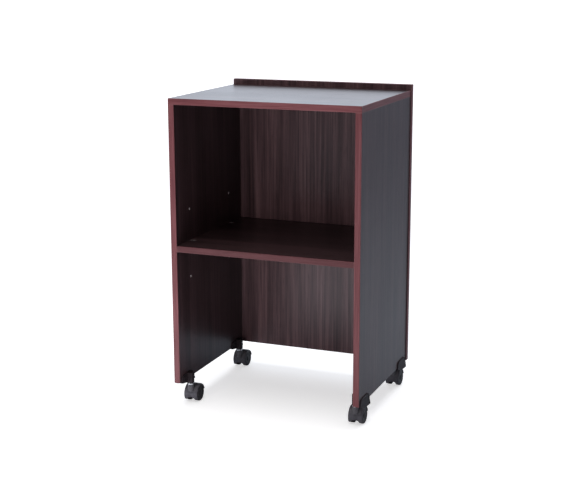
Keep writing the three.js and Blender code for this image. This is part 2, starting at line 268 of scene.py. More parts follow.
def placed(obj, matrix):
    """Moves an object's mesh, keeping its faces outward when the matrix mirrors it."""
    obj.data.transform(matrix)
    if matrix.determinant() < 0:
        obj.data.flip_normals()
    return obj


def copy_of(obj, name):
    return add_object(name, obj.data.copy())


def quarter_turn(way):
    """Turns the Z axis onto +X for a way of 1, or onto -X for a way of -1."""
    return Matrix.Rotation(way * math.pi / 2, 4, "Y")


ONTO_X = quarter_turn(1)


def crossed_blades(turn, half_length, half_width, low, high):
    """Two crossed blades about Z that cut a screwdriver's recess, turned by an angle in radians."""
    blades = []
    for angle in (turn, turn + math.pi / 2):
        blade = board("part", (-half_length, -half_width, low), (half_length, half_width, high))
        blades.append(placed(blade, Matrix.Rotation(angle, 4, "Z")))
    return blades


# ---- materials --------------------------------------------------------------------------------------------
class Nodes:
    """A material's node tree, with short calls to add and link nodes."""

    def __init__(self, name):
        self.material = bpy.data.materials.new(name)
        self.material.use_nodes = True
        self.tree = self.material.node_tree
        self.shader = self.tree.nodes["Principled BSDF"]
        self.coords = self.tree.nodes.new("ShaderNodeTexCoord").outputs["Object"]

    def node(self, kind, **values):
        made = self.tree.nodes.new(kind)
        for key, value in values.items():
            setattr(made, key, value)
        return made

    def link(self, source, target):
        self.tree.links.new(source, target)

    def stretched(self, scale, turn=(0, 0, 0)):
        mapping = self.node("ShaderNodeMapping")
        mapping.inputs["Scale"].default_value = scale
        mapping.inputs["Rotation"].default_value = turn
        self.link(self.coords, mapping.inputs["Vector"])
        return mapping.outputs["Vector"]

    def noise(self, vector, scale, detail=4, roughness=0.5):
        made = self.node("ShaderNodeTexNoise")
        made.inputs["Scale"].default_value = scale
        made.inputs["Detail"].default_value = detail
        made.inputs["Roughness"].default_value = roughness
        self.link(vector, made.inputs["Vector"])
        return made.outputs["Fac"]

    def ramp(self, value, stops):
        made = self.node("ShaderNodeValToRGB")
        elements = made.color_ramp.elements
        while len(elements) < len(stops):
            elements.new(0.5)
        for element, (position, colour) in zip(elements, stops):
            element.position = position
            element.color = (*colour, 1)
        self.link(value, made.inputs["Fac"])
        return made.outputs["Color"]

    def spread(self, value, low, high, from_low=0.0, from_high=1.0):
        """A value between from_low and from_high, spread over low to high and held at both."""
        made = self.node("ShaderNodeMapRange")
        made.inputs["From Min"].default_value = from_low
        made.inputs["From Max"].default_value = from_high
        made.inputs["To Min"].default_value = low
        made.inputs["To Max"].default_value = high
        self.link(value, made.inputs["Value"])
        return made.outputs["Result"]

    def mixed(self, first, second, amount):
        """Two colours, mixed. An amount of 0 gives the first and 1 the second."""
        made = self.node("ShaderNodeMix", data_type="RGBA")
        self.link(amount, made.inputs[0])
        for socket, colour in ((made.inputs[6], first), (made.inputs[7], second)):
            if isinstance(colour, tuple):
                socket.default_value = (*colour, 1)
            else:
                self.link(colour, socket)
        return made.outputs[2]

    def math(self, kind, first, second):
        made = self.node("ShaderNodeMath", operation=kind)
        for socket, value in zip(made.inputs, (first, second)):
            if isinstance(value, (int, float)):
                socket.default_value = value
            else:
                self.link(value, socket)
        return made.outputs[0]

    def edges(self):
        """Near 1 on outward edges and 0 elsewhere."""
        geometry = self.node("ShaderNodeNewGeometry")
        # a flat face has a pointiness of 0.5
        return self.spread(geometry.outputs["Pointiness"], 0, 1, 0.52, 0.62)

    def bump(self, height, strength, distance):
        made = self.node("ShaderNodeBump")
        made.inputs["Strength"].default_value = strength
        made.inputs["Distance"].default_value = distance
        self.link(height, made.inputs["Height"])
        self.link(made.outputs["Normal"], self.shader.inputs["Normal"])

    def finish(self, colour, roughness, **constants):
        """Links the shader and returns the material. constants set the shader's own sockets by name."""
        self.link(colour, self.shader.inputs["Base Color"])
        self.link(roughness, self.shader.inputs["Roughness"])
        for name, value in constants.items():
            self.shader.inputs[name.replace("_", " ")].default_value = value
        return self.material


def along(axis, across, lengthwise):
    """A noise scale that is stretched along one axis."""
    return tuple(lengthwise if letter == axis else across for letter in "xyz")


def shaded(tones, gain):
    """A colour ramp's tones, each made lighter or darker by gain."""
    return [(position, tuple(gain * channel for channel in tone)) for position, tone in tones]


def laminate(name, axis, gain):
    """Printed mahogany laminate with its grain along axis, in a satin melamine surface. gain lightens it, and
    on the back panel's copy that lightening is painted light.
    """
    nodes = Nodes(name)
    figure = nodes.noise(nodes.stretched(along(axis, 1, 0.045)), 26, 4, 0.55)
    streaks = nodes.noise(nodes.stretched(along(axis, 1, 0.016)), 150, 5, 0.60)
    pores = nodes.noise(nodes.stretched(along(axis, 1, 0.030)), 620, 3, 0.6)
    grain = nodes.math("ADD", nodes.math("MULTIPLY", figure, 0.45), nodes.math("MULTIPLY", streaks, 0.55))
    tones = (
        (0.36, (0.0190, 0.0100, 0.0108)),
        (0.46, (0.0360, 0.0192, 0.0208)),
        (0.55, (0.0550, 0.0298, 0.0320)),
        (0.65, (0.0880, 0.0485, 0.0505)),
    )
    colour = nodes.ramp(grain, shaded(tones, gain))
    dark_pores = nodes.spread(pores, 1, 0, 0.33, 0.42)
    colour = nodes.mixed(colour, (0.014, 0.0050, 0.0055), nodes.math("MULTIPLY", dark_pores, 0.45))
    colour = nodes.mixed(colour, (0.17, 0.075, 0.072), nodes.math("MULTIPLY", nodes.edges(), 0.35))
    drift = nodes.noise(nodes.coords, 3, 2, 0.5)
    satin = nodes.spread(drift, 0.29, 0.33, 0.3, 0.7)
    roughness = nodes.math("ADD", satin, nodes.math("MULTIPLY", dark_pores, 0.08))
    nodes.bump(nodes.math("ADD", streaks, nodes.math("MULTIPLY", pores, 0.5)), 0.05, 0.0002)
    return nodes.finish(colour, roughness, IOR=1.34)


def raw_board(name):
    """Bare particle board inside a drilled hole."""
    nodes = Nodes(name)
    chips = nodes.noise(nodes.coords, 900, 4, 0.7)
    tones = ((0.35, (0.46, 0.40, 0.39)), (0.5, (0.66, 0.58, 0.56)), (0.65, (0.80, 0.73, 0.70)))
    colour = nodes.ramp(chips, tones)
    nodes.bump(chips, 0.6, 0.0003)
    return nodes.finish(colour, nodes.spread(chips, 0.75, 0.9))


def edge_banding(name, axis, shade=1.0):
    """Reddish plastic banding with a fine printed grain along its length. shade darkens it, and on the
    shelf's copy that darkening is painted shade.
    """
    nodes = Nodes(name)
    streaks = nodes.noise(nodes.stretched(along(axis, 1, 0.018)), 420, 5, 0.6)
    drift = nodes.noise(nodes.stretched(along(axis, 1, 0.2)), 14, 2)
    blend = nodes.math("ADD", nodes.math("MULTIPLY", streaks, 0.7), nodes.math("MULTIPLY", drift, 0.3))
    tones = ((0.36, (0.088, 0.024, 0.0265)), (0.50, (0.135, 0.040, 0.0435)), (0.64, (0.185, 0.064, 0.068)))
    colour = nodes.ramp(blend, shaded(tones, shade))
    colour = nodes.mixed(colour, (0.30, 0.15, 0.145), nodes.math("MULTIPLY", nodes.edges(), 0.4))
    roughness = nodes.spread(drift, 0.36, 0.48, 0.3, 0.7)
    nodes.bump(streaks, 0.12, 0.0002)
    return nodes.finish(colour, roughness, IOR=1.29)


def moulded_plastic(name, colour, worn, rough, wear, ior):
    """Moulded plastic: fine spark-eroded texture, faint flow marks and rubbed edges."""
    nodes = Nodes(name)
    texture = nodes.noise(nodes.coords, 2600, 3, 0.6)
    flow = nodes.noise(nodes.stretched((1, 1, 0.4)), 60, 4, 0.6)
    scuffs = nodes.noise(nodes.stretched((1, 0.25, 1), (0.4, 0.2, 0.9)), 240, 6, 0.7)
    base = nodes.mixed(colour, tuple(c * 1.7 for c in colour), nodes.spread(flow, 0, 1, 0.35, 0.65))
    base = nodes.mixed(base, worn, nodes.math("MULTIPLY", nodes.edges(), wear))
    base = nodes.mixed(base, worn, nodes.math("MULTIPLY", nodes.spread(scuffs, 0, 1, 0.60, 0.74), wear * 0.5))
    satin = nodes.spread(flow, rough - 0.05, rough + 0.06, 0.3, 0.7)
    roughness = nodes.math("ADD", satin, nodes.math("MULTIPLY", nodes.spread(scuffs, 0, 1, 0.58, 0.72), 0.12))
    nodes.bump(texture, 0.22, 0.00008)
    return nodes.finish(base, roughness, IOR=ior)


def zinc_plate(name, gain=1.0, rough=0.20):
    """Zinc plate: clear grey metal with a cloudy passivated surface and fine drawing lines."""
    nodes = Nodes(name)
    cloud = nodes.noise(nodes.coords, 150, 5, 0.6)
    lines = nodes.noise(nodes.stretched((1, 1, 0.06)), 2400, 3, 0.6)
    tones = ((0.35, (0.42, 0.43, 0.44)), (0.52, (0.60, 0.61, 0.62)), (0.68, (0.70, 0.69, 0.66)))
    colour = nodes.ramp(cloud, shaded(tones, gain))
    colour = nodes.mixed(colour, (0.80, 0.80, 0.79), nodes.math("MULTIPLY", nodes.edges(), 0.5))
    satin = nodes.spread(cloud, rough, rough + 0.16, 0.3, 0.7)
    roughness = nodes.math("ADD", satin, nodes.math("MULTIPLY", lines, 0.08))
    nodes.bump(lines, 0.10, 0.00005)
    return nodes.finish(colour, roughness, Metallic=1.0)


def bare_beech(name):
    """Bare beech with its grain up the dowel and the short dark flecks of the wood."""
    nodes = Nodes(name)
    grain = nodes.noise(nodes.stretched((1, 1, 0.05)), 700, 5, 0.6)
    flecks = nodes.noise(nodes.stretched((1, 1, 0.18)), 1900, 2, 0.5)
    tones = ((0.34, (0.42, 0.25, 0.115)), (0.52, (0.58, 0.38, 0.19)), (0.68, (0.68, 0.47, 0.26)))
    colour = nodes.ramp(grain, tones)
    colour = nodes.mixed(colour, (0.26, 0.14, 0.065), nodes.spread(flecks, 0, 0.5, 0.62, 0.70))
    nodes.bump(grain, 0.25, 0.0002)
    return nodes.finish(colour, nodes.spread(grain, 0.62, 0.76), IOR=1.5)


LAMINATE = {axis: laminate(f"laminate_{axis}", axis, 0.92) for axis in "xz"}
# the back panel's laminate, made lighter than the rest as painted light inside the cabinet
BACK_LAMINATE_PAINTED_LIGHT = laminate("laminate_back_painted_light", "z", 1.66)
BANDING = {axis: edge_banding(f"banding_{axis}", axis) for axis in "xyz"}
# the shelf's front band, made darker than the other bands as painted shade
SHELF_BANDING_PAINTED_SHADE = edge_banding("banding_shelf_painted_shade", "x", 0.60)
HOOD_PLASTIC = moulded_plastic(
    "caster_plastic",
    colour=(0.0480, 0.0440, 0.0510),
    worn=(0.095, 0.088, 0.094),
    rough=0.38,
    wear=0.45,
    ior=1.33,
)
BRACKET_PLASTIC = moulded_plastic(
    "bracket_plastic",
    colour=(0.0150, 0.0105, 0.0120),
    worn=(0.070, 0.060, 0.064),
    rough=0.50,
    wear=0.30,
    ior=1.20,
)
WHEEL_PLASTIC = moulded_plastic(
    "wheel_plastic",
    colour=(0.0160, 0.0125, 0.0140),
    worn=(0.090, 0.084, 0.084),
    rough=0.44,
    wear=0.60,
    ior=1.26,
)
FITTING_PLASTIC = moulded_plastic(
    "fitting_plastic",
    colour=(0.25, 0.20, 0.20),
    worn=(0.36, 0.30, 0.30),
    rough=0.45,
    wear=0.35,
    ior=1.5,
)
ZINC = zinc_plate("zinc")
# the stem's zinc: satin, and lighter than the other zinc as a painted highlight on its collar
PAINTED_HIGHLIGHT_ZINC = zinc_plate("zinc_painted_highlight", 1.38, 0.42)
BEECH = bare_beech("beech")
RAW_BOARD = raw_board("raw_board")


def settle(obj, body, material, slot, *nodes):
    """Gives a finished piece its material and its body, and hides the CAD nodes it stands for."""
    obj.data.materials.clear()
    obj.data.materials.append(material)
    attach(obj, body)
    if nodes:
        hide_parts(*nodes)


# ---- cabinet ----------------------------------------------------------------------------------------------
HOLE_RADIUS = 2.6 * MM
HOLE_DEPTH = 12 * MM
HOLE_RIM = 1.3 * MM
# from the shelf's bolts to the spare holes above and below
HOLE_STEP = 108 * MM
# no hole comes nearer to a side panel's edges than this
HOLE_MARGIN = 5 * MM
BOLT_THREADS = 7
DOWEL_FLUTES = 18


def hole_cutter(x, y, z, sign):
    """A cutter for a blind hole into a side panel from its inner face at x, with a broken rim."""
    rim = HOLE_RADIUS + HOLE_RIM
    profile = [
        (0, -MM),
        (rim, -MM),
        (rim, 0),
        (HOLE_RADIUS, HOLE_RIM),
        (HOLE_RADIUS, HOLE_DEPTH),
        (0, HOLE_DEPTH),
    ]
    return placed(turned("part", profile, 32), Matrix.Translation((x, y, z)) @ quarter_turn(sign))


def build_side_panel(side, sign):
    node = f"{side}_side_panel"
    lo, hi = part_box(node)
    panel = board(f"panel_{side}_side", lo, hi, [("+x", "-z"), ("-x", "-z")])
    inner_x = lo[0] if sign > 0 else hi[0]
    rows = edge_rows(lo, hi)
    around = [HOLE_RADIUS + HOLE_RIM + gap for gap in (1.5 * MM, 4 * MM)]
    cutters = []
    for end in ENDS:
        bolt = middle(*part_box(f"shelf_bolt_{end}_{side}"))
        rows[1] += rows_round(bolt[1], around)
        for step in (-1, 0, 1):
            height = bolt[2] + step * HOLE_STEP
            cutters.append(hole_cutter(inner_x, bolt[1], height, sign))
            # both columns of holes are at the same heights
            if end == ENDS[0]:
                rows[2] += rows_round(height, around)
    cut(panel, cutters)
    cut_rows(panel, rows)
    crease(panel)
    settle(panel, ROOT, LAMINATE["z"], "laminate", node)
    panel.data.materials.append(RAW_BOARD)
    for polygon in panel.data.polygons:
        centre = polygon.center
        between_faces = lo[0] + MM / 10 < centre[0] < hi[0] - MM / 10
        clear_of_edges = all(lo[i] + HOLE_MARGIN < centre[i] < hi[i] - HOLE_MARGIN for i in (1, 2))
        if between_faces and clear_of_edges:
            polygon.material_index = 1


def build_flat_panel(name, node, look, eased=()):
    lo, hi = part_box(node)
    panel = board(name, lo, hi, eased)
    cut_rows(panel, edge_rows(lo, hi))
    settle(panel, ROOT, look, "laminate", node)


def build_shelf():
    """The shelf, with a round pocket for each housing and a throat from it out to the side panel."""
    lo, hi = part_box("shelf_panel")
    panel = board("panel_shelf", lo, hi)
    rows = edge_rows(lo, hi)
    cutters = []
    for side, sign in SIDES.items():
        for end in ENDS:
            cup_lo, cup_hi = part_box(f"shelf_housing_{end}_{side}")
            centre = middle(cup_lo, cup_hi)
            radius = (cup_hi[1] - cup_lo[1]) / 2 + 0.25 * MM
            depth = cup_hi[2] - cup_lo[2] + 0.3 * MM
            pocket = drum(radius, 0, depth + MM, 48)
            cutters.append(placed(pocket, Matrix.Translation((centre[0], centre[1], hi[2] - depth))))
            left, right = sorted((centre[0], centre[0] + sign * 12 * MM))
            throat_lo = (left, centre[1] - 4 * MM, lo[2] + 6 * MM)
            throat_hi = (right, centre[1] + 4 * MM, lo[2] + 14 * MM)
            cutters.append(board("part", throat_lo, throat_hi))
            for axis in (0, 1):
                rows[axis] += rows_round(centre[axis], (radius + MM, radius + 3 * MM))
    cut(panel, cutters)
    cut_rows(panel, rows)
    crease(panel)
    settle(panel, ROOT, LAMINATE["x"], "laminate", "shelf_panel")


def build_bands():
    """The edge bands. Each has the axis it runs along and the edges that are rounded."""
    bands = {
        "left_front_edge_band": ("z", [("-y", "-x"), ("-y", "+x"), ("-y", "-z")]),
        "right_front_edge_band": ("z", [("-y", "-x"), ("-y", "+x"), ("-y", "-z")]),
        "top_front_edge_band": ("x", [("-y", "+z"), ("-y", "-z"), ("-y", "-x"), ("-y", "+x")]),
        "top_left_edge_band": ("y", [("-x", "+z")]),
        "top_right_edge_band": ("y", [("+x", "+z")]),
        "shelf_front_edge_band": ("x", [("-y", "+z"), ("-y", "-z")]),
        "back_left_edge_band": ("z", [("-x", "-y"), ("-x", "+y"), ("-x", "-z")]),
        "back_right_edge_band": ("z", [("+x", "-y"), ("+x", "+y"), ("+x", "-z")]),
        "lip_edge_band": ("x", [("+z", "-y"), ("+z", "+y"), ("+z", "-x"), ("+z", "+x")]),
    }
    for node, (axis, eased) in bands.items():
        lo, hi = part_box(node)
        band = board(f"band_{node.replace('_edge_band', '')}", lo, hi, eased, 0.7 * MM, 4)
        cut_rows(band, edge_rows(lo, hi))
        # the shelf's front band is darkened as painted shade
        look = SHELF_BANDING_PAINTED_SHADE if node.startswith("shelf") else BANDING[axis]
        settle(band, ROOT, look, "edge_band", node)


def housing_mesh(label, radius, depth, sign):
    """A shelf housing about Z with its rim at 0: a cup, slotted toward the side panel for the bolt."""
    cup = turned(f"fitting_collar_{label}", [
        (0, -depth),
        (radius - 0.8 * MM, -depth),
        (radius, -depth + 0.8 * MM),
        (radius, -0.5 * MM),
        (radius - 0.3 * MM, 0),
        (7.4 * MM, 0),
        (7.0 * MM, -0.4 * MM),
        (7.0 * MM, -1.2 * MM),
        (0, -1.2 * MM),
    ], 48)
    left, right = sorted((-sign * 2 * MM, sign * 11 * MM))
    cut(cup, [board("part", (left, -3.6 * MM, -13.6 * MM), (right, 3.6 * MM, -5.2 * MM))])
    crease(cup, 30)
    return cup


def cam_mesh(label):
    """The locking cam in a housing's mouth, with a crossed recess."""
    profile = in_mm([(0, -1.15), (6.6, -1.15), (6.6, -0.5), (6.1, -0.05), (0, -0.05)])
    cam = turned(f"fitting_cam_{label}", profile, 48)
    cut(cam, crossed_blades(0.35, 4.2 * MM, 0.55 * MM, -0.9 * MM, MM))
    crease(cam, 30)
    return cam


def bolt_mesh(label, length):
    """A shelf bolt up Z: the thread in the side panel, a neck and the head in the housing."""
    pitch = 1.4
    profile = [(0, 0), (1.7, 0)]
    for turn in range(BOLT_THREADS):
        crest = pitch / 2 + turn * pitch
        profile += [(2.45, crest), (1.8, crest + pitch / 2)]
    profile += [(2.5, 10.9), (2.0, 11.1), (2.0, 17.4), (3.2, 18.4), (3.2, 20.8)]
    return turned(f"fitting_bolt_{label}", in_mm(profile) + [(2.3 * MM, length), (0, length)], 32)


def build_shelf_fittings():
    for side, sign in SIDES.items():
        for end in ENDS:
            label = f"{end}_{side}"
            node = f"shelf_housing_{label}"
            lo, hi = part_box(node)
            centre = middle(lo, hi)
            at_rim = Matrix.Translation((centre[0], centre[1], hi[2]))
            housing = placed(housing_mesh(label, (hi[1] - lo[1]) / 2, hi[2] - lo[2], sign), at_rim)
            settle(housing, ROOT, FITTING_PLASTIC, "fitting_plastic", node)
            settle(placed(cam_mesh(label), at_rim), ROOT, ZINC, "zinc")

            node = f"shelf_bolt_{label}"
            lo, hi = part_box(node)
            centre = middle(lo, hi)
            start = Matrix.Translation((hi[0] if sign > 0 else lo[0], centre[1], centre[2]))
            bolt = placed(bolt_mesh(label, hi[0] - lo[0]), start @ quarter_turn(-sign))
            settle(bolt, ROOT, ZINC, "zinc", node)


def dowel_mesh(name, low, high):
    """A fluted dowel up Z."""
    outline = []
    for step in range(DOWEL_FLUTES * 4):
        angle = 2 * math.pi * step / (DOWEL_FLUTES * 4)
        radius = (4.0 if step % 4 < 2 else 3.7) * MM
        outline.append((radius * math.cos(angle), radius * math.sin(angle)))
    dowel = prism(name, outline, "z", low, high)
    soften(dowel, 0.6 * MM, 2, 80)
    crease(dowel, 25)
    return dowel


def build_dowels():
    for side in SIDES:
        for end in ENDS:
            node = f"top_dowel_{end}_{side}"
            lo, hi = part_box(node)
            centre = middle(lo, hi)
            dowel = dowel_mesh(f"dowel_{end}_{side}", lo[2], hi[2])
            placed(dowel, Matrix.Translation((centre[0], centre[1], 0)))
            settle(dowel, ROOT, BEECH, "beech", node)


# ---- caster brackets --------------------------------------------------------------------------------------
# In a bracket's own frame the stem is at x = y = 0, the side panel at +x, and z = 0 at the panel's underside.
# the two flanges' faces toward the panel
INSIDE = 10 * MM
OUTSIDE = 29 * MM
FLANGE = 3.5 * MM
# half the bracket's length, the underside of its base and the lowest point of its outer flange
HALF = 47 * MM
BASE = -3 * MM
OUTER_TIP = -20.5 * MM
# a flange's top, the reach of its rear edge there, how far its front edge leans and how its corners curve
CREST = 20 * MM
REAR_EDGE = 34 * MM
LEAN = 4 * MM
CORNER = 13 * MM
# the socket round the stem
BARREL = 9.5 * MM
BARREL_LOW = -12.5 * MM
BARREL_HIGH = 21 * MM
BORE_HIGH = 17.3 * MM
STEM_BORE = 5.8 * MM
RIBS = (-34 * MM, -22 * MM, 16 * MM, 26 * MM)


def curve(first, bend, last, steps=12):
    """Points of a curve from first to last, drawn toward bend. The first point is left out."""
    points = []
    columns = list(zip(first, bend, last))
    for i in range(1, steps + 1):
        share = i / steps
        weights = ((1 - share) ** 2, 2 * share * (1 - share), share ** 2)
        point = [sum(weight * value for weight, value in zip(weights, values)) for values in columns]
        points.append(tuple(point))
    return points


def flange_outline(tip, inset=0.0):
    """(y, z) pairs of a flange whose lower edge falls from its front end to a rear tip at height tip."""
    front = -HALF + inset
    rear = HALF - 1.8 * inset
    tip += 1.5 * inset
    top = CREST - inset
    start = (front, BASE + inset / 2)
    rear_corner = (REAR_EDGE - inset, CREST - 12 * MM)
    front_corner = (front + LEAN + CORNER, top)
    points = [start] + curve(start, (front / 2, 0.9 * tip), (rear, tip))
    points.append(rear_corner)
    points += curve(rear_corner, (rear_corner[0] - 3 * MM, top), (rear_corner[0] - CORNER, top))
    points.append(front_corner)
    points += curve(front_corner, (front + LEAN, top), (front + LEAN / 2, top - CORNER))
    return points


def bracket_solid():
    """The inner flange, joined to the outer flange, the base, the socket and the ribs."""
    # how far the parts run into each other where they join
    lap = 0.5 * MM
    body = prism("bracket", flange_outline(BARREL_LOW), "x", INSIDE - FLANGE, INSIDE)
    outer = prism("part", flange_outline(OUTER_TIP), "x", OUTSIDE, OUTSIDE + FLANGE)
    base = board("part", (INSIDE - lap, -HALF, BASE), (OUTSIDE + lap, HALF, 0))
    rounding = 4 * MM
    centre = BARREL - rounding
    outline = [(INSIDE - lap, -BARREL), (INSIDE - lap, BARREL)]
    outline += arc((-centre, centre), rounding, 90, 180, 8)
    outline += arc((-centre, -centre), rounding, 180, 270, 8)
    barrel = prism("part", outline, "z", BARREL_LOW, BARREL_HIGH)
    ribs = []
    for y in RIBS:
        rib_lo = (INSIDE - FLANGE - 2 * MM, y - 1.1 * MM, BASE + 1.5 * MM)
        rib_hi = (INSIDE - FLANGE + lap, y + 1.1 * MM, 13 * MM)
        ribs.append(board("part", rib_lo, rib_hi))
    join_solids(body, [outer, base, barrel] + ribs)
    return body


def bracket_cutters():
    """The stem's bore, the outer flange's sunk field, the socket's two oval recesses and two screw holes."""
    bore = drum(STEM_BORE, 0, BORE_HIGH - BARREL_LOW + MM, 40)
    cutters = [placed(bore, Matrix.Translation((0, 0, BARREL_LOW - MM)))]
    field = flange_outline(OUTER_TIP, 3.2 * MM)
    cutters.append(prism("part", field, "x", OUTSIDE + FLANGE - 0.9 * MM, OUTSIDE + FLANGE + MM))
    for way in (-1, 1):
        oval = arc((0, 8 * MM), 3 * MM, 0, 180, 12) + arc((0, -2 * MM), 3 * MM, 180, 360, 12)
        start, end = sorted((way * (BARREL - 2 * MM), way * (BARREL + MM)))
        cutters.append(prism("part", oval, "y", start, end))
        hole = drum(2.3 * MM, 0, 10 * MM, 24)
        cutters.append(placed(hole, Matrix.Translation(((INSIDE + OUTSIDE) / 2, way * 32 * MM, BASE - MM))))
    return cutters


def bracket_mesh():
    body = bracket_solid()
    cut(body, bracket_cutters())
    soften(body, 0.55 * MM, 2, 40)
    cut_rows(body, even_rows(body, 4.5 * MM))
    crease(body, 40)
    return body


def screw_mesh():
    """A pan-head screw up Z, with a crossed recess in its head."""
    profile = [(0, -2.5), (2.2, -2.45), (3.4, -1.8), (4.0, -0.7), (4.0, 0), (1.95, 0), (1.95, 23), (0, 26)]
    screw = turned("screw", in_mm(profile), 40)
    cut(screw, crossed_blades(0.4, 2.0 * MM, 0.45 * MM, -4 * MM, -1.2 * MM))
    crease(screw, 30)
    return screw


def build_brackets():
    bracket = bracket_mesh()
    screw = screw_mesh()
    for side, sign in SIDES.items():
        mirror = Matrix.Diagonal((sign, 1, 1, 1))
        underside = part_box(f"{side}_side_panel")[0][2]
        for end in ENDS:
            stem = swivel_at[(end, side)]
            node = f"caster_bracket_{end}_{side}"
            piece = copy_of(bracket, f"bracket_{end}_{side}")
            placed(piece, Matrix.Translation((stem[0], stem[1], underside)) @ mirror)
            settle(piece, ROOT, BRACKET_PLASTIC, "caster_plastic", node)
            for letter in "ab":
                screw_node = f"bracket_screw_{end}_{side}_{letter}"
                lo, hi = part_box(screw_node)
                centre = middle(lo, hi)
                piece = copy_of(screw, f"screw_{end}_{side}_{letter}")
                placed(piece, Matrix.Translation((centre[0], centre[1], lo[2] + 2.5 * MM)))
                settle(piece, ROOT, ZINC, "zinc", screw_node)
    bpy.data.objects.remove(bracket, do_unlink=True)
    bpy.data.objects.remove(screw, do_unlink=True)


# ---- casters ----------------------------------------------------------------------------------------------
# In a caster's own frame the stem is at x = y = 0, z = 0 is the floor and the axle lies behind the stem.
# in millimetres, as the profiles are
WHEEL_RADIUS = 25.5
AXLE_Y = 25 * MM
AXLE_Z = WHEEL_RADIUS * MM
# where the hood's shell ends round the axle, in degrees from +y
REAR_ANGLE = 12
FRONT_ANGLE = 213
HOOD_STEPS = 72
# half the thickness of the web between the wheels
WEB = 3.75 * MM
# the round room that each wheel has inside the hood
ROOM_RADIUS = 28.3 * MM
ROOM_WIDTH = 22 * MM


def hood_shell():
    """The shell over both wheels: a section across it, swept round the axle."""
    # half the outer and half the inner line of the section, as (x, radius), rounded over the shoulder
    outer = [(-23, 26.9), (-22.7, 28.4), (-21.7, 29.8), (-20.0, 30.7), (-17.5, 31)]
    inner = [(21.2, 26.9), (20.9, 27.7), (19.9, 28.3), (17.5, 28.6)]
    section = []
    for half in (outer, inner):
        section += in_mm(half + [(-x, radius) for x, radius in reversed(half)])
    bm = bmesh.new()
    rings = []
    for i in range(HOOD_STEPS + 1):
        angle = math.radians(REAR_ANGLE + (FRONT_ANGLE - REAR_ANGLE) * i / HOOD_STEPS)
        ring = []
        for x, radius in section:
            place = (x, AXLE_Y + radius * math.cos(angle), AXLE_Z + radius * math.sin(angle))
            ring.append(bm.verts.new(place))
        rings.append(ring)
    count = len(section)
    for first, second in zip(rings, rings[1:]):
        for i in range(count):
            j = (i + 1) % count
            bm.faces.new((first[i], first[j], second[j], second[i]))
    bm.faces.new(rings[0])
    bm.faces.new(rings[-1])
    return from_bmesh("hood", bm)


def hood_mesh():
    """The shell, joined to the web between the wheels, the hub round the axle and the neck round the stem."""
    shell = hood_shell()
    axle = Vector((0, AXLE_Y, AXLE_Z))
    fan = [(AXLE_Y, AXLE_Z)] + arc((AXLE_Y, AXLE_Z), 30 * MM, REAR_ANGLE + 1, FRONT_ANGLE - 1, 48)
    web = prism("part", fan, "x", -WEB, WEB)
    hub = placed(drum(9 * MM, -WEB, WEB, 48), Matrix.Translation(axle) @ ONTO_X)
    neck = turned("part", in_mm([(0, 38), (10, 38), (10, 58.6), (9.6, 59.5), (8.8, 60), (0, 60)]), 48)
    rooms = []
    for start in (-WEB - ROOM_WIDTH, WEB):
        place = Matrix.Translation(axle + Vector((start, 0, 0)))
        rooms.append(placed(drum(ROOM_RADIUS, 0, ROOM_WIDTH, 72), place @ ONTO_X))
    cut(neck, rooms)
    join_solids(shell, [web, hub, neck])

    bore = placed(drum(STEM_BORE, 0, 16 * MM, 40), Matrix.Translation((0, 0, 46.5 * MM)))
    pin_start = Matrix.Translation(axle + Vector((-6 * MM, 0, 0)))
    pin = placed(drum(3.3 * MM, 0, 12 * MM, 32), pin_start @ ONTO_X)
    # the arched opening at the foot of the hood's front
    oval = []
    for step in range(72):
        angle = math.radians(5 * step)
        oval.append((15 * MM * math.cos(angle), 6 * MM + 12 * MM * math.sin(angle)))
    arch = prism("part", oval, "y", -31 * MM, 12 * MM)
    cut(shell, [bore, pin, arch])
    soften(shell, 0.5 * MM, 2, 50)
    crease(shell, 40)
    return shell


def wheel_mesh():
    """A wheel about Z with its outer face up: rounded tread, a grooved rim and a dished, capped hub."""
    bore = [(0, 18.3), (3.3, 18.3), (3.3, 5.5), (6.6, 5.5), (7.0, 5.9), (7.0, 7.5)]
    tread = [
        (23.0, 7.5), (24.2, 7.9), (25.0, 8.8), (25.4, 10.2), (WHEEL_RADIUS, 12.0), (WHEEL_RADIUS, 18.0),
        (25.3, 19.6), (24.8, 20.9), (24.0, 21.8), (22.8, 22.3), (21.6, 22.4),
    ]
    groove = [(21.0, 22.2), (20.8, 21.5), (20.2, 21.5), (20.0, 22.1), (19.4, 22.2)]
    dish = [(14.0, 21.1), (9.5, 20.7), (8.2, 20.9)]
    cap = [(7.8, 21.8), (7.0, 22.3), (4.0, 22.5), (0, 22.5)]
    return turned("wheel", in_mm(bore + tread + groove + dish + cap), 72)


def stem_mesh():
    """A stem up Z: the foot in the hood, the collar and the grooved end in the bracket. Its zinc is made
    lighter as a painted highlight on the collar.
    """
    foot = [(0, 47), (4.5, 47), (5.5, 48), (5.5, 60.3)]
    collar = [(9.2, 60.3), (9.5, 60.6), (9.5, 62.0), (9.2, 62.4), (8.0, 64.2), (7.4, 66.2), (5.5, 66.2)]
    grooves = [(5.5, 81), (4.9, 81.4), (4.9, 82), (5.6, 82.4), (5.6, 88), (4.9, 88.4), (4.9, 89), (5.5, 89.4)]
    tip = [(5.5, 94.5), (4, 96), (0, 96)]
    return turned("stem", in_mm(foot + collar + grooves + tip), 56)


def axle_mesh():
    profile = [(0, -18), (2.4, -18), (3, -17.3), (3, 17.3), (2.4, 18), (0, 18)]
    return turned("axle", in_mm(profile), 40)


